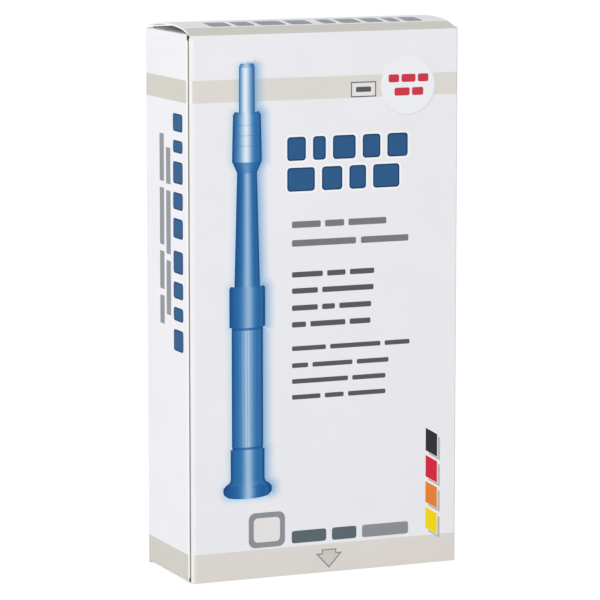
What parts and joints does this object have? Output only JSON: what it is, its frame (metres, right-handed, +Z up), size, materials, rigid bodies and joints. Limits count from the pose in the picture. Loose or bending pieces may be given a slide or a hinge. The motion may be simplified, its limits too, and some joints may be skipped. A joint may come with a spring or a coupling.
{
  "type": "tuck-end folding carton",
  "caption": "Tall flat paperboard retail carton with reverse tuck ends: an arched top lid and a flat bottom lid, each with a tuck flap, and a round paper label on the front.",
  "frame": {"origin": "middle of the footprint, on the surface that the carton stands on", "axes": "+Z up the carton's height, +X along the front panel to its right edge, +Y from the front panel to the back panel"},
  "size_m": [0.08, 0.0321, 0.1522],
  "materials": {
    "coated_board": "satin clay-coated white paperboard with flat colour print",
    "label_paper": "semi-gloss white adhesive label paper"
  },
  "bodies": {
    "carton": {"carton_shell": "coated_board", "round_label": "label_paper"},
    "top_lid": {"top_lid": "coated_board"},
    "top_tuck": {"top_tuck_flap": "coated_board"},
    "bottom_lid": {"bottom_lid": "coated_board"},
    "bottom_tuck": {"bottom_tuck_flap": "coated_board"}
  },
  "joints": [
    {"name": "top_lid_hinge", "type": "hinge", "parent": "carton", "child": "top_lid", "pos_m": [0, -0.01578, 0.14947], "axis": [1, 0, 0], "range_deg": [0, 110]},
    {"name": "top_tuck_fold", "type": "hinge", "parent": "top_lid", "child": "top_tuck", "pos_m": [0, 0.01457, 0.15088], "axis": [1, 0, 0], "range_deg": [-55, 0]},
    {"name": "bottom_lid_hinge", "type": "hinge", "parent": "carton", "child": "bottom_lid", "pos_m": [0, 0.01578, 0.00022], "axis": [1, 0, 0], "range_deg": [0, 110]},
    {"name": "bottom_tuck_fold", "type": "hinge", "parent": "bottom_lid", "child": "bottom_tuck", "pos_m": [0, -0.01413, 0.00022], "axis": [1, 0, 0], "range_deg": [-55, 0]}
  ],
  "couplings": [
    {"joint": "top_tuck_fold", "follows": "top_lid_hinge", "ratio": -0.5},
    {"joint": "bottom_tuck_fold", "follows": "bottom_lid_hinge", "ratio": -0.5}
  ]
}
